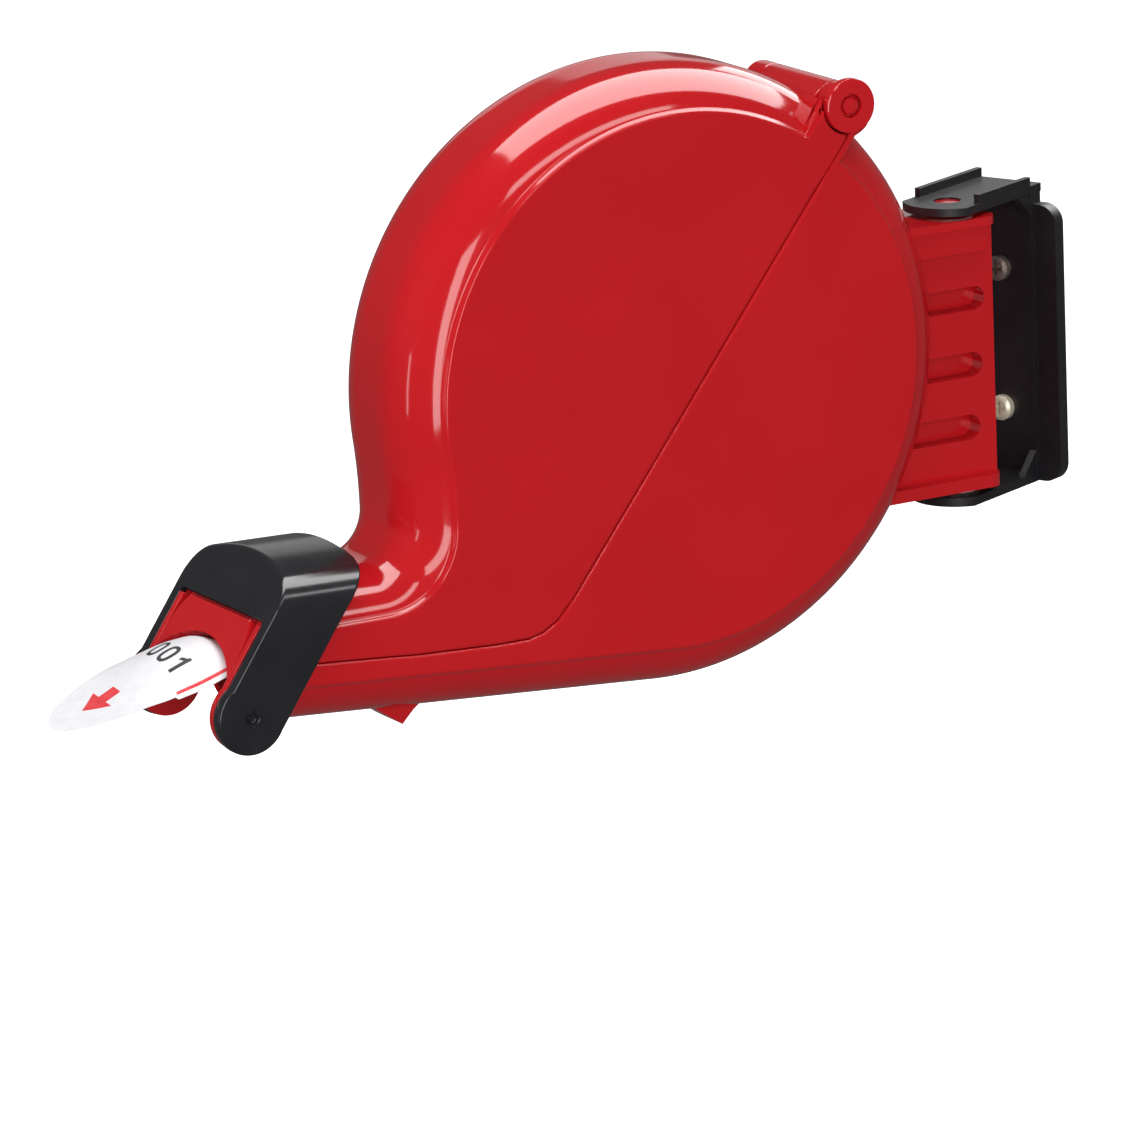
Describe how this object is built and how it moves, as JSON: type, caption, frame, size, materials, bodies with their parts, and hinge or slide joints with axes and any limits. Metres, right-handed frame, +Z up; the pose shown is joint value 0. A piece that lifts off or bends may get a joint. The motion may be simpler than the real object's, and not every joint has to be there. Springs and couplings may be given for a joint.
{
  "type": "take-a-number ticket dispenser",
  "caption": "Wall-mounted take-a-number dispenser: round hinged two-part casing with a snout and black mouth hood, ticket roll inside, on a swivel wall bracket.",
  "frame": {"origin": "on the wall plane, midway between the two wall screws", "axes": "+X into the wall, square to it; +Z up; the casing stands out towards -X and is swivelled 24 degrees as pictured"},
  "size_m": [0.3493, 0.1605, 0.192],
  "materials": {
    "red_plastic": "glossy moulded ABS, deep red",
    "black_plastic": "satin black moulded plastic",
    "bracket_plastic": "semi-matt black moulded plastic",
    "inner_plastic": "off-white moulded plastic",
    "screw_brass": "yellow-passivated steel screws",
    "steel": "zinc-plated steel",
    "paper": "smooth white ticket paper",
    "card": "brown cardboard tube"
  },
  "bodies": {
    "bracket": {"wall_bracket": "bracket_plastic", "wall_screws": "screw_brass"},
    "base": {"swivel_washers": "inner_plastic", "swivel_arm": "red_plastic", "arm_screws": "steel", "base_shell": "red_plastic", "cover_hinge_pin": "red_plastic", "spindle_seats": "inner_plastic", "seat_screws": "steel", "chute_plate": "inner_plastic", "chute_screws": "steel", "brake_spring": "steel", "brake_rivets": "steel"},
    "roll": {"roll_spindle": "inner_plastic", "roll_core": "card", "ticket_roll": "paper"},
    "ticket": {"ticket_strip": "paper"},
    "cover": {"cover_shell": "red_plastic", "nose_plate": "red_plastic", "hood_pins": "steel"},
    "hood": {"mouth_hood": "black_plastic"}
  },
  "joints": [
    {"name": "swivel", "type": "hinge", "parent": "bracket", "child": "base", "pos_m": [-0.035, 0, 0], "axis": [0, 0, 1], "range_deg": [-51, 99]},
    {"name": "cover_hinge", "type": "hinge", "parent": "base", "child": "cover", "pos_m": [-0.08113, 0.02054, 0.0902], "axis": [0.4067, 0.9135, 0], "range_deg": [0, 100]},
    {"name": "hood_pivot", "type": "hinge", "parent": "cover", "child": "hood", "pos_m": [-0.27755, 0.10799, -0.065], "axis": [-0.4067, -0.9135, 0], "range_deg": [0, 60]},
    {"name": "roll_spin", "type": "hinge", "parent": "base", "child": "roll", "pos_m": [-0.13275, 0.04352, -0.005], "axis": [0.4067, 0.9135, 0], "range_deg": [0, 47.38]},
    {"name": "ticket_feed", "type": "slide", "parent": "base", "child": "ticket", "axis": [-0.9132, 0.4066, 0.0265], "range_m": [0, 0.0431]}
  ],
  "couplings": [
    {"joint": "ticket_feed", "follows": "roll_spin", "m_per_rad": 0.052}
  ]
}
